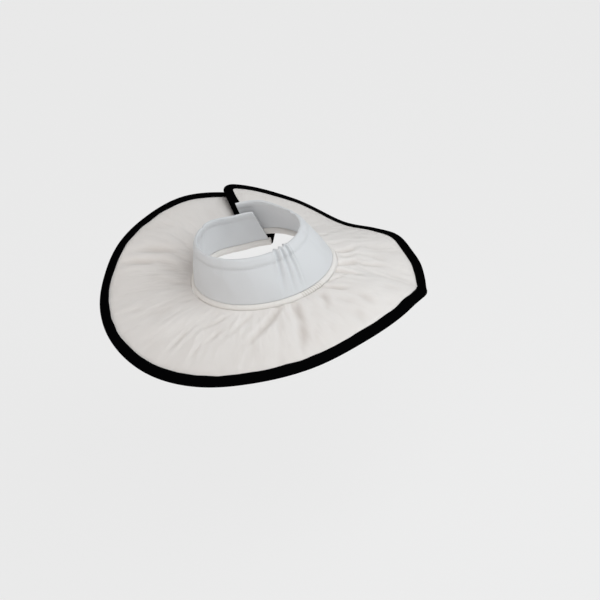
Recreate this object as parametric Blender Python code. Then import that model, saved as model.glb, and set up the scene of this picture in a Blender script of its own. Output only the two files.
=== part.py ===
"""A soft Elizabethan collar for a small dog, as it drapes when it is worn.

A padded ring hangs round the neck and a black tape binds its edge. A corded piping joins the ring to a
soft neck cuff. The ring opens at the nape, where its ends overlap on a hook-and-loop patch.
Metres, +Z up along the neck, origin at the centre of the neck seam, chest side towards -Y.
"""

import math
from collections import namedtuple

import bmesh
import bpy
from mathutils import Vector

# Neck seam and its corded piping
SEAM_RADIUS = 0.0616
PIPING_RADIUS = 0.0034
PIPING_LEVEL = 0.0019
SHEET_LEVEL = -0.001

# Padded ring, measured along the sheet from the piping to the outside of the bound edge
COLLAR_REACH = 0.0833
PAD_THICKNESS = 0.009
SEAM_THICKNESS = 0.004
EDGE_THICKNESS = 0.004
SWELL_POWER = 0.55
LEAN_RUN = 0.006

# Edge binding
BAND_WIDTH = 0.0092
TAPE_THICKNESS = 0.001
CORNER_RADIUS = 0.012
BAND_START = 0.0016

# Overlapping closure at the nape
CLOSURE_AZIMUTH = 90.0
OVERLAP_DEG = 20.0
EASE_DEG = 40.0
PATCH_THICKNESS = 0.002
PATCH_SPREAD_DEG = 13.0
PATCH_MARGIN = 0.016
TUCK_RUN = 0.02

# Neck cuff
CUFF_HEIGHT = 0.0365
CUFF_TOP_RADIUS = 0.047
CUFF_WALL = 0.002
CUFF_OVERHANG = 0.0002
CUFF_BULGE = 0.0012
CUFF_SHIFT_X = -0.0073
CUFF_SHIFT_Y = 0.002
CUFF_END_INSET = 0.002
HEM_HEIGHT = 0.008
HEM_EXTRA = 0.0006
PLEAT_DEPTH = 0.0022

# Gap kept between sewn pieces
CLEARANCE = 0.0003

# Spacing of the modelled sections
RING_STEP_DEG = 4.2
CUFF_STEP_DEG = 7.5
PIPING_STEP_DEG = 5.5
FAN_REACH = 0.104

# How the worn sheet drapes round the neck, in degrees. Droop is its slope below level, and curl how much
# steeper it gets from the seam to the bound edge. Azimuth 270 is the chest side.
Drape = namedtuple("Drape", "azimuth droop curl")
DRAPE = (
    Drape(0, 26.9, -25),
    Drape(8, 24.4, -29),
    Drape(17, 22.8, -29),
    Drape(27, 19.7, -25),
    Drape(40, 21.5, -19),
    Drape(55, 23.0, -8),
    Drape(75, 9.6, 4),
    Drape(95, -6.8, 8),
    Drape(115, -17.0, 14),
    Drape(135, -14.0, 20),
    Drape(150, -10.2, 19),
    Drape(165, -1.6, 12),
    Drape(180, 3.5, 5),
    Drape(200, 9.6, 3),
    Drape(220, 14.6, 4),
    Drape(240, 14.6, 5),
    Drape(260, 11.3, 5),
    Drape(280, 8.4, 5),
    Drape(300, 4.4, 7),
    Drape(318, 4.6, 9),
    Drape(326, 5.6, 8),
    Drape(332, 8.3, 4),
    Drape(337, 11.9, 0),
    Drape(342, 16.4, -6),
    Drape(347, 22.4, -12),
    Drape(353, 27.4, -19),
)

# The bound edge is drawn in where the ring bends sharply at its left front: degrees and share of the reach
KINK_AZIMUTH = 343.7
KINK_WIDTH_DEG = 6.1
KINK_DRAW = 0.033

# Creases of the gathered cover. Width and swirl are degrees, the rest are shares: depth of the padding's
# half thickness, start and end of the reach. Swirl turns the crease between the seam and the edge.
Crease = namedtuple("Crease", "azimuth width depth start end swirl")
CREASES = (
    Crease(5, 7, 0.40, 0.0, 0.40, 32),
    Crease(24, 7, 0.28, 0.0, 0.45, 10),
    Crease(42, 7, 0.28, 0.0, 0.40, -6),
    Crease(60, 7, 0.22, 0.0, 0.40, 0),
    Crease(122, 7, 0.25, 0.0, 0.45, 6),
    Crease(140, 7, 0.25, 0.0, 0.50, 8),
    Crease(164, 6, 0.25, 0.10, 0.55, -20),
    Crease(161, 6, 0.32, 0.50, 1.00, -4),
    Crease(205, 6, 0.22, 0.55, 1.00, -24),
    Crease(221, 9, 0.32, 0.0, 0.95, -26),
    Crease(246, 6, 0.36, 0.0, 0.75, -36),
    Crease(259, 6, 0.40, 0.0, 0.60, -38),
    Crease(276, 7, 0.60, 0.0, 0.62, -42),
    Crease(288, 7, 0.60, 0.0, 1.00, -9),
    Crease(311, 7, 0.46, 0.0, 0.55, -32),
    Crease(321, 6, 0.40, 0.0, 0.85, -9),
    Crease(340, 7, 0.50, 0.0, 0.95, 0),
    Crease(352, 6, 0.45, 0.0, 0.40, 24),
)

# Pleats where the cuff is gathered to the neck: degrees, and the depth's share of PLEAT_DEPTH
Pleat = namedtuple("Pleat", "azimuth width depth")
PLEATS = (
    Pleat(292, 4, 1.0),
    Pleat(299, 4, 0.8),
    Pleat(306, 4, 0.9),
    Pleat(232, 8, 0.35),
    Pleat(340, 8, 0.4),
    Pleat(150, 8, 0.4),
)

# Sizes that follow from the ones above
SHEET_RADIUS = SEAM_RADIUS + PIPING_RADIUS + CLEARANCE
EDGE_HALF = EDGE_THICKNESS / 2
TAPE_INNER = EDGE_HALF + CLEARANCE
TAPE_OUTER = TAPE_INNER + TAPE_THICKNESS
PAD_REACH = COLLAR_REACH - CLEARANCE - TAPE_THICKNESS
LIP = BAND_WIDTH - CLEARANCE - TAPE_THICKNESS
SWELL_GAP = 0.0005
LAYER_LIFT = TAPE_OUTER + CLEARANCE + PATCH_THICKNESS / 2
LAYER_TUCK = (PIPING_RADIUS + CUFF_OVERHANG + 2 * CLEARANCE) / 2
FIRST_TURN = CLOSURE_AZIMUTH - OVERLAP_DEG / 2
LAST_TURN = CLOSURE_AZIMUTH + OVERLAP_DEG / 2 + 360.0
CUFF_BASE = PIPING_LEVEL + PIPING_RADIUS + CLEARANCE


def smooth(share):
    """Eased step from 0 to 1."""
    share = min(1.0, max(0.0, share))
    return share * share * (3.0 - 2.0 * share)


def wrapped_rows():
    """The DRAPE rows with the neighbours that close the circle."""
    before = [row._replace(azimuth=row.azimuth - 360) for row in DRAPE[-2:]]
    after = [row._replace(azimuth=row.azimuth + 360) for row in DRAPE[:3]]
    return [*before, *DRAPE, *after]


DRAPE_ROWS = wrapped_rows()


def row_rate(index, field):
    """Change of a field per degree at one DRAPE row."""
    before, here, after = (getattr(row, field) for row in DRAPE_ROWS[index - 1 : index + 2])
    run_in = DRAPE_ROWS[index].azimuth - DRAPE_ROWS[index - 1].azimuth
    run_out = DRAPE_ROWS[index + 1].azimuth - DRAPE_ROWS[index].azimuth
    return ((here - before) / run_in * run_out + (after - here) / run_out * run_in) / (run_in + run_out)


def drape_at(turn, field):
    """A field of the DRAPE rows in radians, on a smooth curve through them."""
    azimuth = turn % 360.0
    index = max(i for i, row in enumerate(DRAPE_ROWS[:-2]) if row.azimuth <= azimuth)
    here, after = (getattr(row, field) for row in DRAPE_ROWS[index : index + 2])
    run = DRAPE_ROWS[index + 1].azimuth - DRAPE_ROWS[index].azimuth
    t = (azimuth - DRAPE_ROWS[index].azimuth) / run
    value = (
        (2 * t**3 - 3 * t**2 + 1) * here
        + (t**3 - 2 * t**2 + t) * run * row_rate(index, field)
        + (3 * t**2 - 2 * t**3) * after
        + (t**3 - t**2) * run * row_rate(index + 1, field)
    )
    return math.radians(value)


def layer_at(turn):
    """-1 on the lower end of the closure, 1 on the upper end and 0 all round the rest."""
    from_first = turn - FIRST_TURN - OVERLAP_DEG
    from_last = LAST_TURN - OVERLAP_DEG - turn
    return smooth(1 - from_last / EASE_DEG) - smooth(1 - from_first / EASE_DEG)


def placed(turn, radius, level):
    """World place at a running angle in degrees."""
    angle = math.radians(turn)
    return Vector((radius * math.cos(angle), radius * math.sin(angle), level))


def sheet_point(turn, reach, height, layer=None):
    """World place on the sheet: reach from the seam along it, and height above its middle."""
    if layer is None:
        layer = layer_at(turn)
    curl = drape_at(turn, "curl")
    slope = drape_at(turn, "droop") - curl / 2 + curl * reach / COLLAR_REACH
    half_bend = curl * reach / COLLAR_REACH / 2
    chord = reach * (math.sin(half_bend) / half_bend if abs(half_bend) > 1e-6 else 1.0)
    from_kink = ((turn - KINK_AZIMUTH + 180.0) % 360.0 - 180.0) / KINK_WIDTH_DEG
    chord *= 1 - KINK_DRAW * math.exp(-(from_kink**2))
    lean = slope * min(1.0, reach / LEAN_RUN)
    radius = SHEET_RADIUS + chord * math.cos(slope - half_bend)
    level = SHEET_LEVEL - chord * math.sin(slope - half_bend)
    tuck = layer * LAYER_TUCK * max(0.0, 1 - reach / TUCK_RUN)
    return placed(
        turn,
        radius + height * math.sin(lean) + tuck,
        level + height * math.cos(lean) + layer * LAYER_LIFT,
    )


def end_turn(end, inset, reach):
    """Running angle of a point that lies inset from one end's edge, at a reach from the seam."""
    angle = math.degrees(inset / (SHEET_RADIUS + reach))
    return FIRST_TURN + angle if end == "first" else LAST_TURN - angle


def crease_share(turn, share):
    """Share of the half thickness that the creases take at this place."""
    total = 0.0
    for crease in CREASES:
        centre = crease.azimuth + crease.swirl * share
        away = (turn - centre + 180.0) % 360.0 - 180.0
        if abs(away) >= crease.width:
            continue
        span = crease.end - crease.start
        along = (share - crease.start) / span
        if not 0.0 <= along <= 1.0:
            continue
        ease_in = 1.0 if crease.start == 0.0 else smooth(along / 0.3)
        fade = ease_in * smooth((1.0 - along) / 0.5)
        total += crease.depth * fade * math.cos(math.pi * away / crease.width / 2) ** 2
    return min(0.6, total)


def edge_limit(inset):
    """Reach of the pad's outline at an inset from an end, where its corner is rounded."""
    if inset >= CORNER_RADIUS:
        return PAD_REACH
    across = CORNER_RADIUS - inset
    return PAD_REACH - CORNER_RADIUS + math.sqrt(CORNER_RADIUS**2 - across**2)


def edge_distance(inset, reach):
    """Distance from the pad's outline to a point inside it."""
    above = reach - (PAD_REACH - CORNER_RADIUS)
    across = CORNER_RADIUS - inset
    if above > 0 and across > 0:
        return max(0.0, CORNER_RADIUS - math.hypot(above, across))
    return max(0.0, min(inset, PAD_REACH - reach))


def pad_half(turn, inset, reach):
    """Half thickness of the pad: pressed at its seams and swelling between them."""
    edge = edge_distance(inset, reach)
    if edge < EDGE_HALF:
        return math.sqrt(max(0.0, EDGE_HALF**2 - (EDGE_HALF - edge) ** 2))
    quilted = PAD_REACH - LIP - SWELL_GAP
    share = min(1.0, reach / quilted)
    seam_half = SEAM_THICKNESS / 2
    pressed = seam_half + (EDGE_HALF - seam_half) * share
    layered = abs(layer_at(turn))
    body = PAD_THICKNESS / 2 * (1 - layered) + TAPE_OUTER * layered
    swell = max(0.0, math.sin(math.pi * share)) ** SWELL_POWER
    from_end = smooth((inset - LIP - 3 * SWELL_GAP) / (CORNER_RADIUS / 2))
    return pressed + (body - pressed) * swell * from_end


def new_object(name, mesh, material, smooth_angle=40.0):
    """Links a mesh as one named piece with its own material."""
    mesh.shade_smooth()
    mesh.set_sharp_from_angle(angle=math.radians(smooth_angle))
    mesh.materials.append(material)
    piece = bpy.data.objects.new(name, mesh)
    collection.objects.link(piece)
    return piece


def cloth(name, color, roughness):
    """Principled cloth material."""
    material = bpy.data.materials.new(name)
    material.use_nodes = True
    shader = material.node_tree.nodes["Principled BSDF"]
    shader.inputs["Base Color"].default_value = (*color, 1.0)
    shader.inputs["Roughness"].default_value = roughness
    shader.inputs["Metallic"].default_value = 0.0
    return material


def mesh_from(name, points, faces):
    """Closed mesh from places and faces, with its normals facing out."""
    form = bmesh.new()
    corners = [form.verts.new(point) for point in points]
    for face in faces:
        form.faces.new([corners[i] for i in face])
    bmesh.ops.recalc_face_normals(form, faces=form.faces)
    mesh = bpy.data.meshes.new(name)
    form.to_mesh(mesh)
    form.free()
    return mesh


def loft(name, sections):
    """Solid through a row of closed sections with as many points each, capped at both ends."""
    count = len(sections[0])
    points = [point for section in sections for point in section]
    faces = []
    for row in range(len(sections) - 1):
        for i in range(count):
            a = row * count + i
            b = row * count + (i + 1) % count
            faces.append((a, b, b + count, a + count))
    faces.append(tuple(range(count)))
    faces.append(tuple(range(len(points) - count, len(points))))
    return mesh_from(name, points, faces)


def end_insets():
    """Insets of the columns that fan out from an end: its bound edge, its corner and its run-out."""
    edge = [0.0, EDGE_HALF * (1 - math.cos(math.radians(45))), EDGE_HALF]
    corner = [CORNER_RADIUS * (1 - math.cos(math.radians(a))) for a in (45, 60, 75, 90)]
    steps = 13
    growth = [(i / steps) ** 1.35 for i in range(1, steps + 1)]
    fan = [CORNER_RADIUS + (FAN_REACH - CORNER_RADIUS) * g for g in growth]
    return edge + corner + fan


def fanned_turn(end, inset, reach):
    """Running angle of a fan column: beside the end's edge at first, radial where the fan ends."""
    share = smooth((inset - CORNER_RADIUS) / (FAN_REACH - CORNER_RADIUS))
    spread = reach * (1 - share) + PAD_REACH * share
    return end_turn(end, inset, spread)


def ring_turns():
    """Running angles of the radial columns between the two fans."""
    first = end_turn("first", FAN_REACH, PAD_REACH)
    last = end_turn("last", FAN_REACH, PAD_REACH)
    steps = max(1, round((last - first) / RING_STEP_DEG))
    return [first + (last - first) * i / steps for i in range(1, steps)]


def pad_columns():
    """Columns of (running angle, inset, reach) from one end of the ring to the other."""
    quilted = (0.0, 0.07, 0.18, 0.34, 0.52, 0.70, 0.85, 0.94, 1.0)
    nose = (EDGE_HALF, EDGE_HALF * (1 - math.cos(math.radians(45))), 0.0)

    def reaches(inset):
        limit = edge_limit(inset)
        inside = limit - LIP - SWELL_GAP
        return [inside * share for share in quilted] + [limit - n for n in nose]

    def fan(end):
        return [
            [(fanned_turn(end, inset, reach), inset, reach) for reach in reaches(inset)]
            for inset in end_insets()
        ]

    middle = [[(turn, FAN_REACH, reach) for reach in reaches(FAN_REACH)] for turn in ring_turns()]
    return fan("first") + middle + fan("last")[::-1]


def build_pad():
    """The padded ring: two gathered faces that meet along the bound outline."""
    columns = pad_columns()
    last_row = len(columns[0]) - 1
    points, top, under = [], [], []
    for number, column in enumerate(columns):
        top.append([])
        under.append([])
        at_end = number in (0, len(columns) - 1)
        for row, (turn, inset, reach) in enumerate(column):
            half = pad_half(turn, inset, reach)
            crease = crease_share(turn, reach / PAD_REACH)
            top[-1].append(len(points))
            points.append(sheet_point(turn, reach, half * (1 - crease)))
            if at_end or row == last_row:
                under[-1].append(top[-1][-1])
                continue
            under[-1].append(len(points))
            points.append(sheet_point(turn, reach, -half * (1 - crease / 2)))
    faces = []
    for c in range(len(columns) - 1):
        for r in range(last_row):
            faces.append((top[c][r], top[c][r + 1], top[c + 1][r + 1], top[c + 1][r]))
            faces.append((under[c][r], under[c + 1][r], under[c + 1][r + 1], under[c][r + 1]))
        seam = (top[c][0], top[c + 1][0], under[c + 1][0], under[c][0])
        faces.append(tuple(dict.fromkeys(seam)))
    mesh = mesh_from("pad", points, faces)
    return new_object("pad", mesh, cloth("cream_cover", (0.80, 0.76, 0.70), 0.85))


def tape_section():
    """The binding's section as (depth from the outline, height): a U folded round the pad's edge."""
    nose = [
        (EDGE_HALF - TAPE_OUTER * math.cos(math.radians(a)), TAPE_OUTER * math.sin(math.radians(a)))
        for a in (90, 45, 0, -45, -90)
    ]
    fold = [
        (EDGE_HALF - TAPE_INNER * math.cos(math.radians(a)), TAPE_INNER * math.sin(math.radians(a)))
        for a in (-90, -45, 0, 45, 90)
    ]
    return [(LIP, TAPE_OUTER), *nose, (LIP, -TAPE_OUTER), (LIP, -TAPE_INNER), *fold, (LIP, TAPE_INNER)]


def end_sections(end):
    """Tape sections along one end's edge and round its corner."""
    straight = PAD_REACH - CORNER_RADIUS
    run = [BAND_START + (straight - BAND_START) * i / 6 for i in range(6)]
    path = [(0.0, reach, 1.0, 0.0) for reach in run]
    for degrees in (0, 20, 40, 60, 75, 90):
        a = math.radians(degrees)
        place = (CORNER_RADIUS * (1 - math.cos(a)), straight + CORNER_RADIUS * math.sin(a))
        path.append((*place, math.cos(a), -math.sin(a)))
    sections = []
    for inset, reach, across, along in path:
        section = []
        for depth, height in tape_section():
            out = reach + depth * along
            section.append(sheet_point(end_turn(end, inset + depth * across, out), out, height))
        sections.append(section)
    return sections


def build_binding():
    """The black tape: along one end, round the rim and along the other end."""
    fans = [inset for inset in end_insets() if inset > CORNER_RADIUS]
    turns = [end_turn("first", inset, PAD_REACH) for inset in fans]
    turns += ring_turns()
    turns += [end_turn("last", inset, PAD_REACH) for inset in reversed(fans)]
    rim = [[sheet_point(turn, PAD_REACH - w, h) for w, h in tape_section()] for turn in turns]
    mesh = loft("edge_binding", end_sections("first") + rim + end_sections("last")[::-1])
    return new_object("edge_binding", mesh, cloth("black_tape", (0.012, 0.012, 0.014), 0.8))


def spaced_turns(first, last, step):
    """Even running angles from first to last, about a step apart."""
    count = max(2, math.ceil((last - first) / step))
    return [first + (last - first) * i / count for i in range(count + 1)]


def build_piping():
    """The corded piping: a round welt along the neck seam."""
    curve = bpy.data.curves.new("neck_piping", "CURVE")
    curve.dimensions = "3D"
    curve.bevel_depth = PIPING_RADIUS
    curve.bevel_resolution = 2
    curve.use_fill_caps = True
    turns = spaced_turns(FIRST_TURN, LAST_TURN, PIPING_STEP_DEG)
    spline = curve.splines.new("POLY")
    spline.points.add(len(turns) - 1)
    for point, turn in zip(spline.points, turns):
        layer = layer_at(turn)
        centre = placed(turn, SEAM_RADIUS + layer * LAYER_TUCK, PIPING_LEVEL + layer * LAYER_LIFT)
        point.co = (*centre, 1.0)
    curve.materials.append(cloth("cream_piping", (0.80, 0.76, 0.68), 0.8))
    piece = bpy.data.objects.new("neck_piping", curve)
    collection.objects.link(piece)
    return piece


def from_pleat(pleat, turn):
    """Degrees from a pleat's middle, positive on the side of growing azimuth."""
    return (turn - pleat.azimuth + 180.0) % 360.0 - 180.0


def pleat_share(turn):
    """Share of PLEAT_DEPTH by which the pleats draw the cuff's top in."""
    total = 0.0
    for pleat in PLEATS:
        away = from_pleat(pleat, turn)
        if abs(away) < pleat.width:
            total += pleat.depth * math.cos(math.pi * away / pleat.width / 2) ** 2
    return total


def cuff_turns(first, last):
    """Running angles of the cuff's sections: even ones, and five across each pleat."""
    even = spaced_turns(first, last, CUFF_STEP_DEG)
    clear = [
        turn
        for turn in even
        if turn in (first, last) or all(abs(from_pleat(p, turn)) > 1.3 * p.width for p in PLEATS)
    ]
    across = [
        first + (pleat.azimuth + step * pleat.width - first) % 360.0
        for pleat in PLEATS
        for step in (-1.0, -0.5, 0.0, 0.5, 1.0)
    ]
    return sorted({round(turn, 6) for turn in clear + across if turn <= last})


def cuff_point(turn, share, outward):
    """Place on the cuff's wall, a share of its height above the base and outward from its middle."""
    base = SEAM_RADIUS + CUFF_OVERHANG - CUFF_WALL / 2
    top = CUFF_TOP_RADIUS - CUFF_WALL / 2
    layer = layer_at(turn)
    radius = base + (top - base) * share + CUFF_BULGE * math.sin(math.pi * share)
    radius -= PLEAT_DEPTH * pleat_share(turn) * share**1.3
    place = placed(
        turn,
        radius + outward + layer * LAYER_TUCK,
        CUFF_BASE + CUFF_HEIGHT * share + layer * LAYER_LIFT,
    )
    return place + Vector((CUFF_SHIFT_X, CUFF_SHIFT_Y, 0.0)) * share


def build_cuff():
    """The neck cuff: a leaning wall of soft cloth with a folded hem at its top."""
    hem = 1 - HEM_HEIGHT / CUFF_HEIGHT
    half = CUFF_WALL / 2
    thick = half + HEM_EXTRA
    outer = ((0.0, half), (0.4, half), (hem, half), (hem + 0.03, thick), (0.97, thick))
    inner = ((0.97, -thick), (hem + 0.03, -thick), (hem, -half), (0.4, -half), (0.0, -half))
    section = (*outer, (1.0, 0.0), *inner)
    first = end_turn("first", CUFF_END_INSET, 0.0)
    last = end_turn("last", CUFF_END_INSET, 0.0)
    sections = [[cuff_point(turn, *place) for place in section] for turn in cuff_turns(first, last)]
    mesh = loft("neck_cuff", sections)
    return new_object("neck_cuff", mesh, cloth("white_cuff", (0.83, 0.84, 0.86), 0.9))


def build_patch():
    """The hook-and-loop patch between the overlapping ends."""
    first = CLOSURE_AZIMUTH - PATCH_SPREAD_DEG / 2
    last = CLOSURE_AZIMUTH + PATCH_SPREAD_DEG / 2
    half = PATCH_THICKNESS / 2
    outer = PAD_REACH - PATCH_MARGIN
    run = [PATCH_MARGIN + (outer - PATCH_MARGIN) * i / 4 for i in range(5)]
    outline = [(reach, half) for reach in run] + [(reach, -half) for reach in reversed(run)]
    sections = [
        [sheet_point(turn, reach, height, layer=0.0) for reach, height in outline]
        for turn in spaced_turns(first, last, RING_STEP_DEG)
    ]
    mesh = loft("closure_patch", sections)
    return new_object("closure_patch", mesh, cloth("hook_and_loop", (0.78, 0.76, 0.72), 0.95))


for leftover in list(bpy.data.objects):
    bpy.data.objects.remove(leftover, do_unlink=True)

collection = bpy.data.collections.new("elizabethan_collar")
bpy.context.scene.collection.children.link(collection)

build_pad()
build_binding()
build_piping()
build_cuff()
build_patch()
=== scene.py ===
"""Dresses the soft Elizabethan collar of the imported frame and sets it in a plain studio.

The collar is a gathered, padded ring with a black bound edge, a corded piping at its neck seam, a soft
neck cuff and a lapped closure at the nape. Everything is in metres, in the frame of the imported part:
+Z runs up the neck, -Y is the chest side and the origin is the centre of the neck seam.
"""

from __future__ import annotations

import logging
import math
from dataclasses import dataclass, field
from enum import Enum
from typing import Any, NamedTuple

import bmesh
import bpy
import numpy as np
from bpy.types import Material, Mesh, Node, NodeSocket, NodeTree, Object
from mathutils import Matrix, Vector, noise
from mathutils.bvhtree import BVHTree

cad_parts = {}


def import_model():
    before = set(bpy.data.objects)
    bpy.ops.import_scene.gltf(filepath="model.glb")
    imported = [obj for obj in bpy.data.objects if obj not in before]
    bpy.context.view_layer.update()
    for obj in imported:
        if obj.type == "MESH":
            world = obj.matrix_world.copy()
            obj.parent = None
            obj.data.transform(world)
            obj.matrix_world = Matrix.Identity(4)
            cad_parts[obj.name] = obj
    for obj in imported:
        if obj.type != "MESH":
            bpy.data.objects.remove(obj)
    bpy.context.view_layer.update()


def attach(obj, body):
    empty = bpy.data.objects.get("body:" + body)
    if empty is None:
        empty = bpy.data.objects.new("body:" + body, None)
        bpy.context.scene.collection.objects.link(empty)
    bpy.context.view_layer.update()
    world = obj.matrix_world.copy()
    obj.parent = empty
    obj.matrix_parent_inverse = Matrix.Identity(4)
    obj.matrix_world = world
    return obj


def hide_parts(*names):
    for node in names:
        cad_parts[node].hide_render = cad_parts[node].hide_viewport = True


LOG = logging.getLogger("elizabethan_collar")
MM = 0.001
Array = np.ndarray


class DrapeRow(NamedTuple):
    """Slope of the worn ring below level at one place round the neck, and how much it steepens outwards.

    All three are in degrees, and the last is from the neck seam to the bound edge.
    """

    azimuth: float
    droop: float
    curl: float


DRAPE_ROWS = tuple(
    DrapeRow(*row)
    for row in (
        (0, 26.9, -25.0), (8, 24.4, -29.0), (17, 22.8, -29.0), (27, 19.7, -25.0), (40, 21.5, -19.0),
        (55, 23.0, -8.0), (75, 9.6, 4.0), (95, -6.8, 8.0), (115, -17.0, 14.0), (135, -14.0, 20.0),
        (150, -10.2, 19.0), (165, -1.6, 12.0), (180, 3.5, 5.0), (200, 9.6, 3.0), (220, 14.6, 4.0),
        (240, 14.6, 5.0), (260, 11.3, 5.0), (280, 8.4, 5.0), (300, 4.4, 7.0), (318, 4.6, 9.0),
        (326, 5.6, 8.0), (332, 8.3, 4.0), (337, 11.9, 0.0), (342, 16.4, -6.0), (347, 22.4, -12.0),
        (353, 27.4, -19.0),
    )
)


class Fold(NamedTuple):
    """A crease of the gathered cover that runs outwards from the neck.

    Azimuths are degrees at its two ends, start and end are shares of the ring's reach, and width and
    depth are millimetres. A negative depth is a ridge.
    """

    azimuth_in: float
    azimuth_out: float
    start: float
    end: float
    width: float
    depth: float


FOLDS = tuple(
    Fold(*row)
    for row in (
        (276.5, 252.0, 0.00, 0.64, 3.8, 2.2), (287.5, 277.5, 0.00, 0.97, 4.0, 2.2),
        (309.0, 298.0, 0.04, 0.46, 3.6, 1.9), (256.0, 242.0, 0.04, 0.52, 2.8, 1.2),
        (231.5, 226.0, 0.18, 0.42, 2.6, 0.6), (232.5, 235.0, 0.52, 0.80, 2.6, 0.6),
        (294.0, 291.5, 0.56, 0.94, 3.2, 0.7), (308.5, 302.5, 0.56, 0.94, 3.2, 0.6),
        (348.5, 366.0, 0.00, 0.28, 2.8, 3.2), (339.5, 340.5, 0.00, 0.34, 3.4, 3.6),
        (323.5, 338.0, 0.00, 0.16, 2.2, 2.0), (315.0, 321.5, 0.00, 0.38, 3.0, 1.9),
        (319.5, 313.5, 0.38, 0.82, 3.6, 1.3), (1.5, 16.0, 0.00, 0.34, 2.6, 1.4),
        (9.0, 24.0, 0.00, 0.42, 2.8, 2.4), (357.0, 368.0, 0.14, 0.68, 2.6, 1.0),
        (222.5, 221.0, 0.36, 0.80, 2.2, 1.4), (241.5, 226.5, 0.04, 0.40, 2.2, 1.4),
        (234.0, 232.5, 0.48, 0.84, 2.2, 1.3), (242.5, 235.5, 0.24, 0.54, 2.2, 1.2),
        (146.0, 153.5, 0.20, 0.84, 4.5, 2.0), (157.5, 159.5, 0.40, 0.99, 3.6, 2.4),
        (166.0, 154.0, 0.05, 0.55, 5.0, 0.7), (190.0, 187.0, 0.50, 0.95, 3.4, 1.1),
        (346.5, 340.0, 0.05, 0.95, 6.0, 0.4), (280.0, 272.0, 0.04, 0.78, 4.5, -0.8),
        (217.0, 199.0, 0.08, 0.92, 9.0, -1.4), (24.0, 30.0, 0.00, 0.40, 3.0, 0.8),
        (44.0, 41.0, 0.00, 0.36, 3.0, 0.8), (62.0, 60.0, 0.00, 0.40, 3.4, 0.7),
        (121.0, 126.0, 0.00, 0.42, 3.4, 0.8), (139.0, 145.0, 0.00, 0.46, 3.4, 0.7),
        (178.0, 171.0, 0.00, 0.36, 3.0, 0.6), (202.0, 196.0, 0.00, 0.30, 3.0, 0.6),
    )
)


class GatherRow(NamedTuple):
    """How much longer than the neck seam the cover was cut at one place, as a share of the seam."""

    azimuth: float
    share: float


GATHER_ROWS = tuple(
    GatherRow(*row)
    for row in (
        (0, 0.22), (30, 0.17), (70, 0.13), (130, 0.10), (165, 0.07), (215, 0.09),
        (232, 0.15), (248, 0.20), (268, 0.26), (305, 0.28), (340, 0.27),
    )
)


class CuffPleat(NamedTuple):
    """A pleat of the cuff: degrees at the seam and at the hem, width in degrees, share of the deepest."""

    azimuth_seam: float
    azimuth_hem: float
    width: float
    depth: float


CUFF_PLEATS = tuple(
    CuffPleat(*row)
    for row in (
        (283.0, 296.5, 4.2, 1.0), (292.6, 303.3, 2.8, 0.9), (299.2, 310.0, 2.6, 1.0),
        (303.4, 313.0, 1.6, 0.4), (228.0, 234.0, 8.0, 0.12), (342.0, 344.0, 7.0, 0.2),
        (150.0, 148.0, 6.0, 0.4), (30.0, 26.0, 6.0, 0.4),
    )
)


class StitchSize(NamedTuple):
    """Distance between the stitches of a row, length of a stitch and width of its thread."""

    spacing: float
    length: float
    width: float


EDGE_STITCH = StitchSize(0.0034, 0.0026, 0.0005)
SEAM_STITCH = StitchSize(0.003, 0.0022, 0.0005)
BINDING_STITCH = StitchSize(0.0019, 0.0024, 0.0006)
HEM_STITCH = StitchSize(0.003, 0.0023, 0.0005)
PATCH_STITCH = StitchSize(0.0028, 0.0021, 0.0005)


class Lamp(NamedTuple):
    """A soft light that faces the collar from a place.

    The power and the spread are watts per square metre and degrees for a sun, watts and metres for an area.
    """

    name: str
    kind: str
    place: tuple[float, float, float]
    power: float
    spread: float
    color: tuple[float, float, float]


LAMPS = (
    Lamp("key", "SUN", (0.1, -0.5, 0.86), 0.36, 40.0, (1.0, 0.98, 0.96)),
    Lamp("bounce", "SUN", (-0.9, -0.35, 0.1), 1.2, 50.0, (1.0, 0.95, 0.895)),
    Lamp("window", "AREA", (0.4, -0.26, 0.45), 3.35, 0.7, (0.908, 0.968, 1.0)),
)


class Weave(Enum):
    """How the threads of a cloth cross."""

    PLAIN = "plain"
    RIBBED = "ribbed"
    PILE = "pile"


def eased(share: Array | float) -> Array:
    """Smooth step from 0 to 1, level outside them."""
    share = np.clip(share, 0.0, 1.0)
    return share * share * (3.0 - 2.0 * share)


def bell(away: Array | float) -> Array:
    """Smooth hump that is 1 in its middle."""
    return np.exp(-(away**2))


def past(turn: Array | float, azimuth: Array | float) -> Array:
    """Degrees past an azimuth, between -180 and 180."""
    return (turn - azimuth + 180.0) % 360.0 - 180.0


def stacked(*rows: Array | float) -> Array:
    """Places from their coordinates, which come last."""
    return np.stack(np.broadcast_arrays(*rows), axis=-1)


def round_neck(radius: Array, turn: Array, level: Array) -> Array:
    """Places at a radius and a level round the neck, with the turn in degrees."""
    angle = np.radians(turn)
    return stacked(radius * np.cos(angle), radius * np.sin(angle), level)


def even_steps(first: float, last: float, step: float) -> Array:
    """Values from first to last, about a step apart."""
    return np.linspace(first, last, round((last - first) / step) + 1)


def rough(places: Array, scale: float, seed: float) -> Array:
    """Smooth noise at many places.

    Args:
        places: one row for each place.
        scale: size of its lumps in metres.
        seed: shifts the pattern.

    Returns:
        One value for each place, mostly between -0.5 and 0.5.
    """
    values = [noise.noise(Vector(row)) for row in places.reshape(-1, 3) / scale + seed]
    return np.array(values).reshape(places.shape[:-1])


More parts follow.
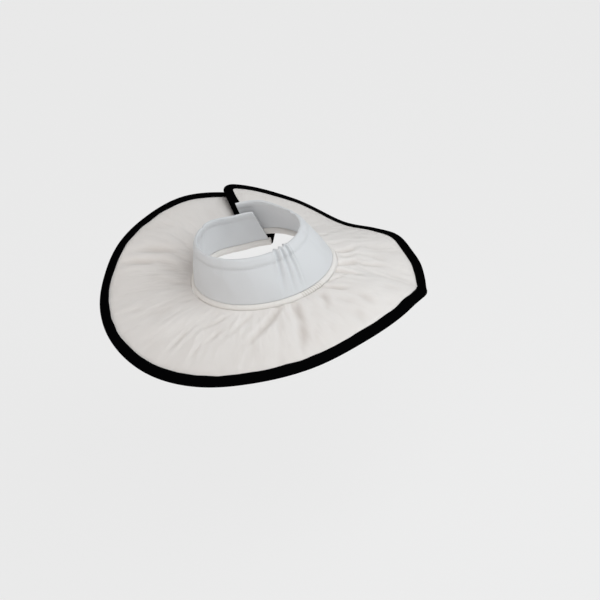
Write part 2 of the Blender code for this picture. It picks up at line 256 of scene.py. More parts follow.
@dataclass(frozen=True)
class Drape:
    """How the worn collar lies round the neck: a map from the flat ring to its place.

    Lengths are metres and angles degrees. The kink is the one sharp bend of the rim, which draws the ring in
    by a share of its reach. The tuck and the lift part the two lapped ends, and ease is how long that takes.
    """

    seam_radius: float = 0.0616
    piping_radius: float = 0.0034
    piping_level: float = 0.0019
    sheet_level: float = -0.001
    reach: float = 0.0833
    lean_run: float = 0.006
    clearance: float = 0.0003
    tape: float = 0.001
    edge_half: float = 0.002
    band_width: float = 0.0092
    corner_radius: float = 0.012
    closure: float = 90.0
    overlap: float = 20.0
    ease: float = 40.0
    patch: float = 0.002
    cuff_overhang: float = 0.0002
    tuck_run: float = 0.02
    kink: float = 343.7
    kink_width: float = 6.1
    kink_draw: float = 0.033

    @property
    def sheet_radius(self) -> float:
        """Radius of the pad's inner edge."""
        return self.seam_radius + self.piping_radius + self.clearance

    @property
    def pad_reach(self) -> float:
        """Reach of the pad's own outer edge, inside the tape."""
        return self.reach - self.clearance - self.tape

    @property
    def lip(self) -> float:
        """Depth to which the tape covers the pad's edge."""
        return self.band_width - self.clearance - self.tape

    @property
    def tape_outer(self) -> float:
        """Half thickness over the tape."""
        return self.edge_half + self.clearance + self.tape

    @property
    def first_turn(self) -> float:
        """Running angle of the lower end."""
        return self.closure - self.overlap / 2

    @property
    def last_turn(self) -> float:
        """Running angle of the upper end."""
        return self.closure + self.overlap / 2 + 360.0

    @property
    def lift(self) -> float:
        """Height of each overlapping end off the middle of the closure."""
        return self.tape_outer + self.clearance + self.patch / 2

    @property
    def tuck(self) -> float:
        """Radial shift of each overlapping end at the neck seam."""
        return (self.piping_radius + self.cuff_overhang + 2 * self.clearance) / 2

    def drape(self, turn: Array | float, field_name: str) -> Array:
        """Droop or curl of the ring, on a smooth curve through the rows.

        Args:
            turn: running angles in degrees.
            field_name: "droop" or "curl".

        Returns:
            The values in radians.
        """
        rows = [(r.azimuth + shift, getattr(r, field_name)) for shift in (-360, 0, 360) for r in DRAPE_ROWS]
        x, y = np.array(rows, float).T
        run = np.diff(x)
        rate = np.diff(y) / run
        grade = np.zeros(len(x))
        grade[1:-1] = (rate[1:] * run[:-1] + rate[:-1] * run[1:]) / (run[1:] + run[:-1])
        at = np.mod(turn, 360.0)
        i = np.searchsorted(x, at, side="right") - 1
        t = (at - x[i]) / run[i]
        value = (2 * t**3 - 3 * t**2 + 1) * y[i] + (t**3 - 2 * t**2 + t) * run[i] * grade[i]
        value += (3 * t**2 - 2 * t**3) * y[i + 1] + (t**3 - t**2) * run[i] * grade[i + 1]
        return np.radians(value)

    def layer(self, turn: Array | float) -> Array:
        """Which layer of the closure a place lies in.

        Args:
            turn: running angles in degrees.

        Returns:
            -1 on the lower end, 1 on the upper end and 0 elsewhere, with an easy change between them.
        """
        from_first = turn - self.first_turn - self.overlap
        from_last = self.last_turn - self.overlap - turn
        return eased(1 - from_last / self.ease) - eased(1 - from_first / self.ease)

    def place(
        self, turn: Array | float, reach: Array | float, height: Array | float, layer: float | None = None
    ) -> Array:
        """Places on the draped ring.

        Args:
            turn: running angles in degrees.
            reach: distances along the sheet from its neck edge.
            height: heights above the sheet's middle.
            layer: which layer of the closure, or None for the one of each angle.

        Returns:
            An array of places, with the three coordinates last.
        """
        turn, reach, height = np.broadcast_arrays(*(np.asarray(v, float) for v in (turn, reach, height)))
        layer = self.layer(turn) if layer is None else layer
        curl = self.drape(turn, "curl")
        slope = self.drape(turn, "droop") - curl / 2 + curl * reach / self.reach
        half_bend = curl * reach / self.reach / 2
        chord = reach * np.sinc(half_bend / np.pi)
        chord = chord * (1 - self.kink_draw * bell(past(turn, self.kink) / self.kink_width))
        lean = slope * np.minimum(1.0, reach / self.lean_run)
        radius = self.sheet_radius + chord * np.cos(slope - half_bend) + height * np.sin(lean)
        radius += layer * self.tuck * np.maximum(0.0, 1 - reach / self.tuck_run)
        level = self.sheet_level - chord * np.sin(slope - half_bend) + height * np.cos(lean)
        return round_neck(radius, turn, level + layer * self.lift)

    def at_seam(self, turn: Array, size: Array | float, rise: Array | float) -> Array:
        """Places round the middle of the neck seam.

        Args:
            turn: running angles in degrees.
            size: distances from the seam's middle.
            rise: angles in radians, 0 pointing away from the neck and a quarter turn pointing up.

        Returns:
            The places.
        """
        layer = self.layer(turn)
        radius = self.seam_radius + layer * self.tuck + size * np.cos(rise)
        return round_neck(radius, turn, self.piping_level + layer * self.lift + size * np.sin(rise))

    def end_turn(self, end: str, inset: Array | float, reach: Array | float) -> Array:
        """Running angle of a point that lies inset from one end's edge, at a reach from the seam."""
        angle = np.degrees(inset / (self.sheet_radius + reach))
        return self.first_turn + angle if end == "first" else self.last_turn - angle

    def run(self, inset: float, reach: float) -> tuple[float, float]:
        """Running angles that lie inset from both ends, at a reach from the seam."""
        return float(self.end_turn("first", inset, reach)), float(self.end_turn("last", inset, reach))


def put(values_of: Any, key: str, values: Array) -> None:
    """Writes an array into a collection, such as the points of a mesh."""
    values_of.foreach_set(key, np.ascontiguousarray(values, np.float32).ravel())


def places_of(mesh: Mesh) -> Array:
    """Places of a mesh's points.

    Args:
        mesh: the mesh.

    Returns:
        One row for each point.
    """
    places = np.empty(len(mesh.vertices) * 3, np.float32)
    mesh.vertices.foreach_get("co", places)
    return places.reshape(-1, 3)


def add_trait(mesh: Mesh, key: str, values: Array) -> None:
    """Stores a number or a vector for each point of a mesh."""
    kind, part = ("FLOAT_VECTOR", "vector") if values.ndim == 2 else ("FLOAT", "value")
    put(mesh.attributes.new(key, kind, "POINT").data, part, values)


def mesh_from(name: str, points: Array, faces: list, traits: dict[str, Array]) -> Mesh:
    """Smooth mesh with named values on its points.

    Args:
        name: the mesh's name.
        points: one row for each point.
        faces: tuples of point numbers, in any turn.
        traits: values of the points, single numbers or vectors, by name.

    Returns:
        The mesh, with its faces pointing out.
    """
    mesh = bpy.data.meshes.new(name)
    mesh.from_pydata(points.tolist(), [], faces)
    for key, values in traits.items():
        add_trait(mesh, key, values)
    form = bmesh.new()
    form.from_mesh(mesh)
    bmesh.ops.recalc_face_normals(form, faces=form.faces)
    form.to_mesh(mesh)
    form.free()
    mesh.shade_smooth()
    return mesh


def tube_faces(rows: int, count: int) -> list[tuple[int, ...]]:
    """Faces of a loft through rows of closed sections, capped at both ends.

    Args:
        rows: number of sections.
        count: number of points in each.

    Returns:
        The faces, as tuples of point numbers.
    """
    faces = []
    for row in range(rows - 1):
        for i in range(count):
            a, b = row * count + i, row * count + (i + 1) % count
            faces.append((a, b, b + count, a + count))
    return faces + [tuple(range(count)), tuple(range((rows - 1) * count, rows * count))]


def link(item: Object) -> Object:
    """Puts an object into the scene."""
    bpy.context.scene.collection.objects.link(item)
    return item


def feed(tree: NodeTree, node: Node, inputs: dict) -> None:
    """Gives inputs of a node their values, or links them to the outputs that feed them.

    Args:
        tree: the node's tree.
        node: the node.
        inputs: a value or an output for each input, by its name or number.
    """
    for key, value in inputs.items():
        if isinstance(value, NodeSocket):
            tree.links.new(value, node.inputs[key])
        else:
            node.inputs[key].default_value = value


def add_node(tree: NodeTree, kind: str, inputs: dict | None = None, **settings: Any) -> Any:
    """Adds a node to a tree.

    Args:
        tree: the tree.
        kind: the node's type.
        inputs: for each input its value or the output that feeds it.
        settings: the node's own settings, which are set before its inputs.

    Returns:
        The node's outputs.
    """
    node = tree.nodes.new(kind)
    for key, value in settings.items():
        setattr(node, key, value)
    feed(tree, node, inputs or {})
    return node.outputs


def add_math(tree: NodeTree, operation: str, *values: Any) -> NodeSocket:
    """Adds a step of arithmetic on outputs and numbers."""
    return add_node(tree, "ShaderNodeMath", dict(enumerate(values)), operation=operation)["Value"]


@dataclass(frozen=True)
class ClothFinish:
    """A cloth: its colour, its threads and how light meets it."""

    name: str
    color: tuple[float, float, float]
    # shade: the darker colour that the cloth's own random mottle mixes in, and that the fold trait mixes in
    # as painted shade in creases, pleats and rib gaps.
    shade: tuple[float, float, float]
    weave: Weave = Weave.PLAIN
    pitch: float = 0.00045
    relief: float = 0.00006
    slub: float = 0.00008
    roughness: float = 0.9
    roughness_spread: float = 0.06
    sheen: float = 0.15
    specular: float = 0.25
    mottle: float = 0.35
    crinkle: float = 0.0
    slub_size: float = 0.004
    mottle_size: float = 0.035
    crinkle_size: float = 0.0026
    slub_detail: float = 3.0
    mottle_detail: float = 2.0
    sheen_roughness: float = 0.5

    def build(self) -> Material:
        """Builds the procedural material, on the pieces' own grain coordinates.

        Returns:
            The material.
        """
        material = bpy.data.materials.new(self.name)
        material.use_nodes = True
        tree = material.node_tree
        grain = add_node(tree, "ShaderNodeAttribute", attribute_name="grain")["Vector"]
        # The fold trait is painted shade: it darkens the colour in the bottoms of creases, pleats and rib
        # gaps.
        fold = add_node(tree, "ShaderNodeAttribute", attribute_name="fold")["Fac"]
        soft = self._noise(tree, grain, self.slub_size, self.slub_detail)
        broad = self._noise(tree, grain, self.mottle_size, self.mottle_detail)
        # The mix factor is the cloth's own random mottle plus the painted shade of the fold trait.
        mottle_and_painted_shade = add_math(tree, "MULTIPLY_ADD", broad, self.mottle, fold)
        colors = {"A": (*self.color, 1.0), "B": (*self.shade, 1.0), "Factor": mottle_and_painted_shade}
        tint = add_node(tree, "ShaderNodeMix", colors, data_type="RGBA", clamp_factor=True)
        low, high = self.roughness - self.roughness_spread, min(1.0, self.roughness + self.roughness_spread)
        spread = add_node(tree, "ShaderNodeMapRange", {"Value": soft, "To Min": low, "To Max": high})
        slubs = {"Distance": self.slub, "Height": soft}
        if self.crinkle > 0:
            gather = add_node(tree, "ShaderNodeAttribute", attribute_name="gather")["Vector"]
            fine = self._noise(tree, gather, self.crinkle_size, self.mottle_detail)
            crinkles = add_node(tree, "ShaderNodeBump", {"Distance": self.crinkle, "Height": fine})
            slubs["Normal"] = crinkles["Normal"]
        threads = {"Distance": self.relief, "Height": self._threads(tree, grain)}
        threads["Normal"] = add_node(tree, "ShaderNodeBump", slubs)["Normal"]
        looks = {
            "Base Color": tint["Result"],
            "Roughness": spread["Result"],
            "Normal": add_node(tree, "ShaderNodeBump", threads)["Normal"],
            "Sheen Weight": self.sheen,
            "Sheen Roughness": self.sheen_roughness,
            "Specular IOR Level": self.specular,
        }
        feed(tree, tree.nodes["Principled BSDF"], looks)
        return material

    @staticmethod
    def _noise(tree: NodeTree, vector: Any, size: float, detail: float) -> NodeSocket:
        """Noise of a lump size on a vector."""
        inputs = {"Scale": 1 / size, "Detail": detail, "Vector": vector}
        return add_node(tree, "ShaderNodeTexNoise", inputs)["Fac"]

    def _threads(self, tree: NodeTree, vector: Any) -> NodeSocket:
        """Height of the threads: crossing ones, ribs across the tape, or a pile of loops.

        Args:
            tree: the material's tree.
            vector: the output with the grain coordinates.

        Returns:
            The output with the height.
        """
        if self.weave is Weave.PILE:
            return self._noise(tree, vector, self.pitch, 1.0)
        split = add_node(tree, "ShaderNodeSeparateXYZ", {"Vector": vector})
        turns = [add_math(tree, "MULTIPLY", split[axis], 2 * math.pi / self.pitch) for axis in ("X", "Y")]
        waves = [add_math(tree, "SINE", turn) for turn in turns]
        return waves[0] if self.weave is Weave.RIBBED else add_math(tree, "MULTIPLY", *waves)


# Each finish's second colour is its darker tone. The random mottle mixes it in, and on the cover, piping and
# cuff it is also painted shade in creases, rib gaps and pleats.
COTTON = ClothFinish(
    "cream_cotton", (0.802, 0.765, 0.738), (0.63, 0.575, 0.535), mottle=0.25, crinkle=0.0005
)
PIPING_COTTON = ClothFinish("piping_cotton", (0.79, 0.76, 0.732), (0.55, 0.50, 0.44), mottle=0.2)
CUFF_COTTON = ClothFinish(
    "white_jersey", (0.64, 0.645, 0.655), (0.515, 0.52, 0.53), pitch=0.0006, mottle=0.2
)
BLACK_TAPE = ClothFinish(
    "folded_black_tape", (0.0016, 0.0016, 0.0018), (0.0008, 0.0008, 0.001), Weave.RIBBED,
    pitch=0.0008, relief=0.00008, roughness=0.85, sheen=0.0, specular=0.0,
)
HOOK_AND_LOOP = ClothFinish(
    "brushed_loops", (0.72, 0.70, 0.66), (0.5, 0.47, 0.42), Weave.PILE, pitch=0.0009, relief=0.0005
)
CREAM_THREAD = ClothFinish("cream_thread", (0.74, 0.70, 0.63), (0.6, 0.55, 0.47), Weave.RIBBED, pitch=0.0005)
WHITE_THREAD = ClothFinish(
    "white_thread", (0.68, 0.685, 0.695), (0.56, 0.565, 0.58), Weave.RIBBED, pitch=0.0005
)
BLACK_THREAD = ClothFinish(
    "black_thread", (0.004, 0.004, 0.0045), (0.002, 0.002, 0.002), Weave.RIBBED,
    pitch=0.0005, roughness=0.7, sheen=0.0, specular=0.02,
)


def material_of(finish: ClothFinish) -> Material:
    """A finish's material, built once."""
    return bpy.data.materials.get(finish.name) or finish.build()


def show(name: str, mesh: Mesh, finish: ClothFinish, slot: str) -> Object:
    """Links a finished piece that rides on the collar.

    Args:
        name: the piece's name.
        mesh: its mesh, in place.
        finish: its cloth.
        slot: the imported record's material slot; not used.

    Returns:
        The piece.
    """
    mesh.materials.clear()
    mesh.materials.append(material_of(finish))
    piece = link(bpy.data.objects.new(name, mesh))
    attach(piece, "root")
    LOG.info("%s: %d faces", name, len(mesh.polygons))
    return piece


@dataclass
class PaddedRing:
    """The padded ring: a gathered cotton cover over wadding, pressed flat in its seams.

    Lengths are metres and angles degrees. The fan is the part beside each end where columns spread from the
    straight edge into the round, and nick is the share of the rounded edge that its middle row takes. The
    shoulder sizes shape the swell beside a crease, in shares of its depth and width. Where it is calm, the
    streaks are shallow. The crease shade depth and limit set the painted shade that darkens the bottoms of
    creases.
    """

    drape: Drape
    thickness: float = 0.009
    seam_half: float = 0.002
    swell_gap: float = 0.0005
    swell_power: float = 0.5
    least_half: float = 0.3
    ring_step: float = 1.16
    fan_steps: int = 30
    fan_growth: float = 1.35
    fan_reach: float = 0.104
    nick: float = 0.293
    lip_row: float = 0.62
    rows: int = 30
    gathers: int = 84
    seed: int = 7
    gather_rim: float = 0.03
    stiffness: float = 0.3
    pressure: float = 1.0
    sim_frames: int = 14
    sim_cap: float = 0.0035
    seam_rise: float = 0.0005
    seam_rise_run: float = 0.004
    seam_gap: float = 0.00005
    seam_angle: float = 1.0
    lump_size: float = 0.026
    lump_depth: float = 0.0012
    streak_size: float = 0.0045
    streak_depth: float = 0.0011
    calm: float = 0.6
    calm_azimuth: float = 183.0
    calm_width: float = 38.0
    gather_azimuth: float = 335.0
    gather_width: float = 90.0
    gather_least: float = 0.35
    pucker_step: float = 4.6
    seam_start: float = 0.03
    fade_in: float = 0.3
    fade_out: float = 0.55
    shoulder: float = 0.3
    shoulder_at: float = 1.7
    shoulder_width: float = 0.8
    rim_fade: float = 0.004
    end_fade: float = 0.01
    seam_fade: float = 0.01
    seam_room: float = 0.45
    lap_calm: float = 0.7
    streak_turn: float = 0.1
    streak_reach: float = 0.22
    under_share: float = 0.6
    # Painted shade in the crease bottoms: the crease depth over this depth, up to this limit, darkens the
    # cover's colour.
    crease_shade_depth: float = 0.0035
    crease_shade_limit: float = 0.6
    pad_rng: np.random.Generator = field(init=False, repr=False)

    def __post_init__(self) -> None:
        """Starts the ring's own row of random numbers."""
        self.pad_rng = np.random.default_rng(self.seed)

    @property
    def quilted(self) -> float:
        """Reach at which the padding is pressed flat beside the tape."""
        return self.drape.pad_reach - self.drape.lip - self.swell_gap

    def columns(self) -> tuple[Array, Array, Array]:
        """Columns across the ring from its lower end to its upper end.

        Returns:
            Running angles, insets from the nearer end and reaches, each by column and row.
        """
        d = self.drape
        corner = d.corner_radius
        edge = [0.0, d.edge_half * self.nick, d.edge_half]
        bend = [corner * (1 - math.cos(math.radians(a))) for a in range(34, 91, 8)]
        growth = [(i / self.fan_steps) ** self.fan_growth for i in range(1, self.fan_steps + 1)]
        insets = edge + bend + [corner + (self.fan_reach - corner) * g for g in growth]
        shares = np.array([0.0, 0.005, 0.016, *np.linspace(0.036, 1.0, self.rows)])

        def reaches(inset: float) -> Array:
            """Reaches of one column's points.

            Args:
                inset: the column's inset from its end.

            Returns:
                The reaches, from the neck edge to the rim.
            """
            across = max(0.0, corner - inset)
            limit = d.pad_reach - corner + math.sqrt(corner**2 - across**2)
            inside = (limit - d.lip - self.swell_gap) * shares
            nose = [d.lip * self.lip_row, d.edge_half, d.edge_half * self.nick, 0.0]
            return np.array([*inside, *(limit - depth for depth in nose)])

        def fan(end: str) -> list[tuple[Array, Array, Array]]:
            """Columns beside one end, which spread from its straight edge into the round.

            Args:
                end: "first" or "last".

            Returns:
                Running angles, insets and reaches of each column.
            """
            found = []
            for inset in insets:
                reach = reaches(inset)
                share = eased((inset - corner) / (self.fan_reach - corner))
                spread = reach * (1 - share) + d.pad_reach * share
                found.append((d.end_turn(end, inset, spread), np.full_like(reach, inset), reach))
            return found

        reach = reaches(self.fan_reach)
        middle = [
            (np.full_like(reach, turn), np.full_like(reach, self.fan_reach), reach)
            for turn in even_steps(*d.run(self.fan_reach, d.pad_reach), self.ring_step)[1:-1]
        ]
        rows = fan("first") + middle + fan("last")[::-1]
        turn, inset, reach = (np.array([row[i] for row in rows]) for i in range(3))
        return turn, inset, reach

    def half(self, turn: Array, inset: Array, reach: Array) -> Array:
        """Half thickness of the padding: pressed at its seams and swelling between them.

        Args:
            turn: running angles in degrees.
            inset: distances from the nearer end.
            reach: reaches along the sheet.

        Returns:
            The half thicknesses.
        """
        d = self.drape
        above = reach - (d.pad_reach - d.corner_radius)
        across = d.corner_radius - inset
        rounded = d.corner_radius - np.hypot(above, across)
        edge = np.where((above > 0) & (across > 0), rounded, np.minimum(inset, d.pad_reach - reach))
        edge = np.maximum(0.0, edge)
        share = np.minimum(1.0, reach / self.quilted)
        pressed = self.seam_half + (d.edge_half - self.seam_half) * share
        layered = np.abs(d.layer(turn))
        body = self.thickness / 2 * (1 - layered) + d.tape_outer * layered
        swell = np.maximum(0.0, np.sin(np.pi * share)) ** self.swell_power
        from_end = eased((inset - d.lip - 3 * self.swell_gap) / (d.corner_radius / 2))
        full = pressed + (body - pressed) * swell * from_end
        round_edge = np.sqrt(np.maximum(0.0, d.edge_half**2 - (d.edge_half - edge) ** 2))
        return np.where(edge < d.edge_half, round_edge, full)

    def fold_depth(self, folds: list[Fold], turn: Array, reach: Array) -> Array:
        """Depth of the creases at each place, in metres and negative on a ridge.

        Args:
            folds: the creases.
            turn: running angles in degrees.
            reach: reaches along the sheet.

        Returns:
            The summed depths.
        """
        d = self.drape
        share = reach / d.pad_reach
        radius = d.sheet_radius + reach
        total = np.zeros_like(turn)
        for row in folds:
            along = (share - row.start) / (row.end - row.start)
            centre = row.azimuth_in + (row.azimuth_out - row.azimuth_in) * np.clip(along, 0, 1)
            away = np.radians(past(turn, centre)) * radius
            sweep = math.radians(row.azimuth_out - row.azimuth_in) / (row.end - row.start)
            oblique = 1 / np.sqrt(1 + (sweep * radius / d.pad_reach) ** 2)
            t = away * oblique / (row.width * MM)
            from_seam = row.start < self.seam_start
            begin = 1.0 if from_seam else eased(along / self.fade_in)
            fade = begin * eased((1 - along) / self.fade_out) * (along > 0) * (along < 1)
            fade = np.where(along <= 0, 1.0, fade) if from_seam else fade
            beside = bell((np.abs(t) - self.shoulder_at) / self.shoulder_width)
            total += row.depth * MM * fade * (bell(t) - self.shoulder * beside)
        return total

    def small_gathers(self) -> list[Fold]:
        """Short gathers that start in the neck seam, deepest at the right of the chest.

        Returns:
            The gathers, as small creases.
        """
        rng = self.pad_rng
        found = []
        for azimuth in np.linspace(0, 360, self.gathers, endpoint=False):
            azimuth += rng.uniform(-1.6, 1.6)
            near = float(eased(1 - abs(past(azimuth, self.gather_azimuth)) / self.gather_width))
            strength = self.gather_least + (1 - self.gather_least) * near
            length = rng.uniform(0.06, 0.2)
            turn = rng.uniform(-3, 3)
            depth = strength * rng.uniform(0.15, 0.7)
            found.append(Fold(azimuth, azimuth + turn, 0.0, length, rng.uniform(1.2, 2.0), depth))
        return found

    def edge_puckers(self) -> list[Fold]:
        """Short puckers where the cover is caught in the bound edge.

        Returns:
            The puckers, as small creases.
        """
        rng = self.pad_rng
        found = []
        for azimuth in np.arange(0, 360, self.pucker_step):
            azimuth += rng.uniform(-1.5, 1.5)
            start = rng.uniform(0.72, 0.84)
            turn = rng.uniform(-1.5, 1.5)
            width, depth = rng.uniform(1.4, 2.4), rng.uniform(0.1, 0.45)
            found.append(Fold(azimuth, azimuth + turn, start, 0.99, width, depth))
        return found

    def cut_shape(self, turn: Array, reach: Array, height: Array) -> Array:
        """The cover as it was cut: a flat fan, longer round the neck than the seam that gathers it.

        Args:
            turn: running angles in degrees.
            reach: reaches along the sheet.
            height: heights above the sheet's middle.

        Returns:
            The places of the same points in the flat fan.
        """
        d = self.drape
        grid = np.radians(np.arange(d.first_turn - 5, d.last_turn + 6, 0.5))
        rows = [(r.azimuth + shift, r.share) for shift in (-360, 0, 360, 720) for r in GATHER_ROWS]
        inner = d.sheet_radius * (1 + np.interp(np.degrees(grid), *np.array(rows, float).T))
        outer = (d.sheet_radius + d.pad_reach) * (1 + self.gather_rim)
        step = grid[1] - grid[0]
        bend = np.cumsum((outer - inner) / d.pad_reach) * step
        across = np.cumsum(-np.sin(bend) * inner) * step
        along = np.cumsum(np.cos(bend) * inner) * step
        facing, x, y = (np.interp(np.radians(turn), grid, row) for row in (bend, across, along))
        return stacked(x + reach * np.cos(facing), y + reach * np.sin(facing), height)

    def relax(self, mesh: Mesh, cut: Array, pinned: Array) -> Array:
        """Lets the cover swell and buckle between its seams with a cloth simulation.

        Args:
            mesh: the sewn shape.
            cut: places of the same points in the shape that the cover was cut to.
            pinned: numbers of the points that the seams hold.

        Returns:
            The relaxed places, moved by no more than the cap.
        """
        scene = bpy.context.scene
        cover = link(bpy.data.objects.new("relaxing_cover", mesh.copy()))
        cover.shape_key_add(name="sewn")
        flat = cover.shape_key_add(name="cut")
        put(flat.data, "co", cut)
        flat.value = 0.0
        cover.vertex_groups.new(name="seams").add([int(i) for i in pinned], 1.0, "REPLACE")
        cloth = cover.modifiers.new("cloth", "CLOTH")
        values = {
            "quality": 6,
            "mass": 0.05,
            "tension_stiffness": 30.0,
            "compression_stiffness": 30.0,
            "shear_stiffness": 4.0,
            "bending_stiffness": self.stiffness,
            "tension_damping": 8.0,
            "compression_damping": 8.0,
            "bending_damping": 0.5,
            "vertex_group_mass": "seams",
            "pin_stiffness": 5.0,
            "rest_shape_key": flat,
            "use_pressure": True,
            "uniform_pressure_force": self.pressure,
        }
        for key, value in values.items():
            setattr(cloth.settings, key, value)
        cloth.settings.effector_weights.gravity = 0.0
        cloth.collision_settings.use_self_collision = False
        cloth.collision_settings.use_collision = False
        cloth.point_cache.frame_start = 1
        cloth.point_cache.frame_end = self.sim_frames
        for frame in range(1, self.sim_frames + 1):
            scene.frame_set(frame)
        evaluated = cover.evaluated_get(bpy.context.evaluated_depsgraph_get())
        after = places_of(evaluated.to_mesh())
        evaluated.to_mesh_clear()
        bpy.data.objects.remove(cover, do_unlink=True)
        scene.frame_set(1)
        before = places_of(mesh)
        moved = after - before
        far = np.linalg.norm(moved, axis=1, keepdims=True)
        LOG.info("cover relaxed by %.1f mm at most, %.2f mm on average", far.max() / MM, far.mean() / MM)
        return before + moved * (self.sim_cap * np.tanh(far / self.sim_cap) / np.maximum(far, 1e-9))

    def build(self) -> Object:
        """Builds, relaxes and dresses the ring.

        Returns:
            The padded piece.
        """
        d = self.drape
        turn, inset, reach = self.columns()
        half = self.half(turn, inset, reach)
        grain = round_neck(d.sheet_radius + reach, turn, turn * 0.001)
        room = eased((self.quilted - reach) / self.rim_fade) * eased((inset - d.lip) / self.end_fade)
        room *= 1 - self.lap_calm * np.abs(d.layer(turn))
        room *= self.seam_room + (1 - self.seam_room) * eased(reach / self.seam_fade)
        fine = self.small_gathers() + self.edge_puckers()
        shallow = [f._replace(depth=f.depth * self.under_share) for f in fine]
        swell = np.clip((half - self.seam_half) / (self.thickness / 2 - self.seam_half), 0, 1)
        streaks = stacked(np.radians(turn) * self.streak_turn, reach * self.streak_reach, 0.0)
        deep = self.streak_depth * (1 - self.calm * bell(past(turn, self.calm_azimuth) / self.calm_width))

        def relief(folds: list[Fold], lump_seed: float, streak_seed: float) -> Array:
            """Depth of one face's creases and lumps.

            Args:
                folds: its creases.
                lump_seed: shifts its broad lumps.
                streak_seed: shifts its streaks.

            Returns:
                The depths.
            """
            lumps = rough(grain, self.lump_size, lump_seed) * self.lump_depth
            lumps += rough(streaks, self.streak_size, streak_seed) * deep
            return self.fold_depth(folds, turn, reach) * room + lumps * swell

        top_fold = relief([*FOLDS, *fine], lump_seed=3.1, streak_seed=9.7)
        under_fold = relief(shallow, lump_seed=21.3, streak_seed=5.2)
        least = self.least_half * half
        seam_rise = self.seam_rise * eased(1 - reach / self.seam_rise_run)
        top = d.place(turn, reach, np.maximum(half - top_fold, least) + seam_rise)
        under = d.place(turn, reach, -np.maximum(half - under_fold, least))
        beside = d.piping_radius + self.seam_gap
        top[1:-1, 0] = d.at_seam(turn[1:-1, 0], beside, math.radians(self.seam_angle))

        columns, rows = turn.shape
        t = np.arange(columns * rows).reshape(columns, rows)
        u = t.copy()
        own = np.zeros((columns, rows), bool)
        own[1:-1, :-1] = True
        u[own] = columns * rows + np.arange(own.sum())

        def both(upper: Array, lower: Array) -> Array:
            """Values of the upper face's points, then of the underside's own ones."""
            return np.concatenate([upper.reshape(-1, *upper.shape[2:]), lower[own]])

        gather = streaks + np.array([0.0, 0.0, 0.01])
        traits = {
            "grain": both(grain, grain),
            "gather": both(gather, -gather),
            # Painted shade: the fold trait darkens the cover's colour in the bottoms of its creases.
            "fold": np.clip(both(top_fold, under_fold) / self.crease_shade_depth, 0, self.crease_shade_limit),
        }
        faces = []
        for c in range(columns - 1):
            for r in range(rows - 1):
                faces.append((t[c, r], t[c, r + 1], t[c + 1, r + 1], t[c + 1, r]))
                faces.append((u[c, r], u[c + 1, r], u[c + 1, r + 1], u[c, r + 1]))
            faces.append(tuple(dict.fromkeys((t[c, 0], t[c + 1, 0], u[c + 1, 0], u[c, 0]))))
        faces = [tuple(int(i) for i in face) for face in faces]
        mesh = mesh_from("padded_ring", both(top, under), faces, traits)
        cut = both(self.cut_shape(turn, reach, half), self.cut_shape(turn, reach, -half))
        held = (reach < 1e-6) | (reach > self.quilted - 0.0005) | (inset < d.lip + 0.002)
        put(mesh.vertices, "co", self.relax(mesh, cut, np.flatnonzero(both(held, held))))
        mesh.update()
        piece = show("padded_ring", mesh, COTTON, "cream_cover")
        finer = piece.modifiers.new("finer", "SUBSURF")
        finer.levels = finer.render_levels = 1
        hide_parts("pad")
        return piece


def directions(places: Array) -> Array:
    """Unit directions along a row of places."""
    ahead = np.gradient(places, axis=0)
    return ahead / np.linalg.norm(ahead, axis=1, keepdims=True)


